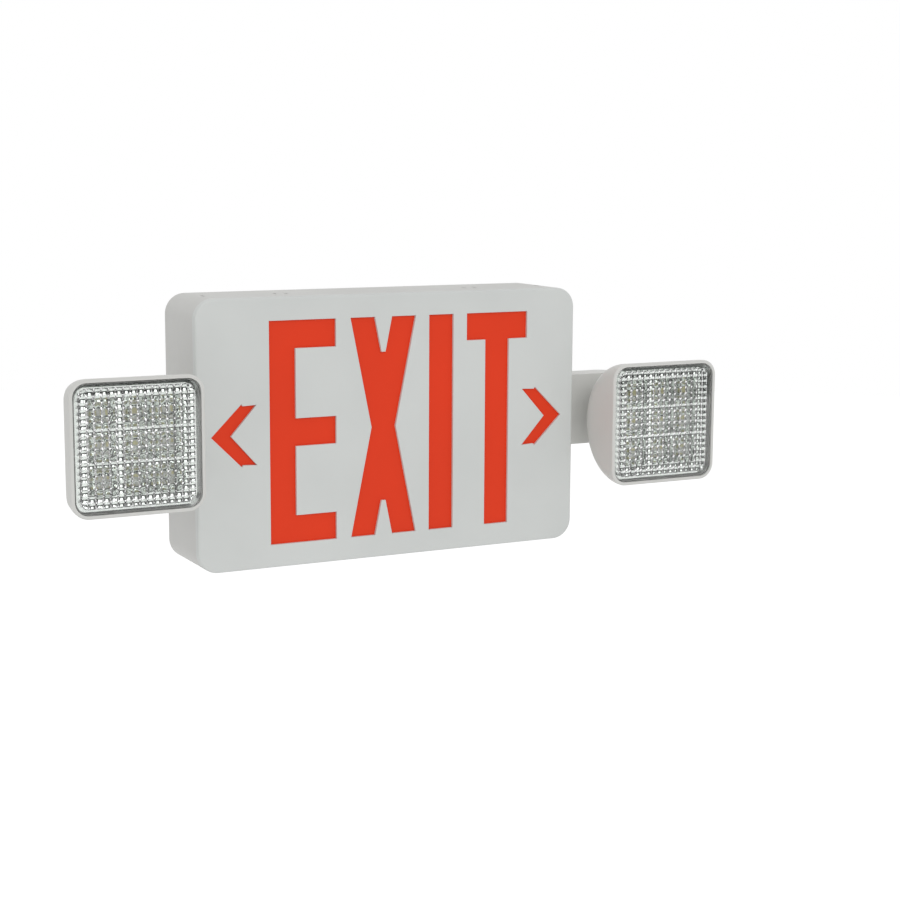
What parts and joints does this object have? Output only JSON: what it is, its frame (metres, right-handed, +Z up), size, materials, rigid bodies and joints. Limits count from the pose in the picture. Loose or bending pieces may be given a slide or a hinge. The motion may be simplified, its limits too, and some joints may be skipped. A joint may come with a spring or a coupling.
{
  "type": "emergency exit light",
  "caption": "Wall-mounted exit sign box with a side arm and an adjustable square LED lamp head at each end.",
  "frame": {"origin": "centre of the back face, on the wall", "axes": "+X to the viewer's right, +Y into the wall, +Z up"},
  "size_m": [0.4826, 0.1016, 0.1842],
  "materials": {
    "housing_plastic": "fine-textured white moulded plastic",
    "face_plastic": "fine-textured white moulded plastic",
    "lamp_plastic": "satin white moulded plastic",
    "legend_red": "translucent red sheet",
    "tray_white": "matt white",
    "lens_clear": "clear prismatic polycarbonate",
    "reflector_chrome": "metallised plastic",
    "board_green": "solder-masked board",
    "board_white": "white solder-masked board",
    "led_yellow": "phosphor",
    "indicator_red": "clear red",
    "steel": "zinc plated",
    "core_steel": "varnished laminations",
    "sleeve_blue": "shrink sleeve",
    "button_white": "moulded",
    "switch_black": "moulded"
  },
  "bodies": {
    "sign": {"back_plate": "housing_plastic", "housing": "housing_plastic", "face_plate": "face_plastic", "legend_panel": "legend_red", "light_tray": "tray_white", "led_strip_top": "board_white", "led_strip_bottom": "board_white", "circuit_board": "board_green", "transformer": "core_steel", "test_switch": "switch_black", "indicator_lamp": "indicator_red", "battery_pack": "sleeve_blue", "battery_bracket": "tray_white", "terminal_block": "tray_white", "canopy_plug": "housing_plastic"},
    "button": {"test_button": "button_white"},
    "arm_right": {"arm_right": "lamp_plastic", "lock_nut_right": "steel", "pan_pin_right": "steel"},
    "lamp_right": {"lamp_shell_right": "lamp_plastic", "lamp_lens_right": "lens_clear", "lamp_reflector_right": "reflector_chrome", "lamp_board_right": "board_white", "lamp_leds_right": "led_yellow"},
    "arm_left": {"arm_left": "lamp_plastic", "lock_nut_left": "steel", "pan_pin_left": "steel"},
    "lamp_left": {"lamp_shell_left": "lamp_plastic", "lamp_lens_left": "lens_clear", "lamp_reflector_left": "reflector_chrome", "lamp_board_left": "board_white", "lamp_leds_left": "led_yellow"}
  },
  "joints": [
    {"name": "tilt_right", "type": "hinge", "parent": "sign", "child": "arm_right", "pos_m": [0.1445, -0.031, 0], "axis": [1, 0, 0], "range_deg": [-45, 45]},
    {"name": "pan_right", "type": "hinge", "parent": "arm_right", "child": "lamp_right", "pos_m": [0.186, -0.031, 0], "axis": [0, 0, 1], "range_deg": [-6, 45]},
    {"name": "tilt_left", "type": "hinge", "parent": "sign", "child": "arm_left", "pos_m": [-0.1445, -0.031, 0], "axis": [1, 0, 0], "range_deg": [-45, 45]},
    {"name": "pan_left", "type": "hinge", "parent": "arm_left", "child": "lamp_left", "pos_m": [-0.186, -0.031, 0], "axis": [0, 0, -1], "range_deg": [-6, 45]},
    {"name": "press_test_button", "type": "slide", "parent": "sign", "child": "button", "axis": [-1, 0, 0], "range_m": [0, 0.0012], "stiffness_N_per_m": 1500, "springref_m": -0.0004}
  ]
}
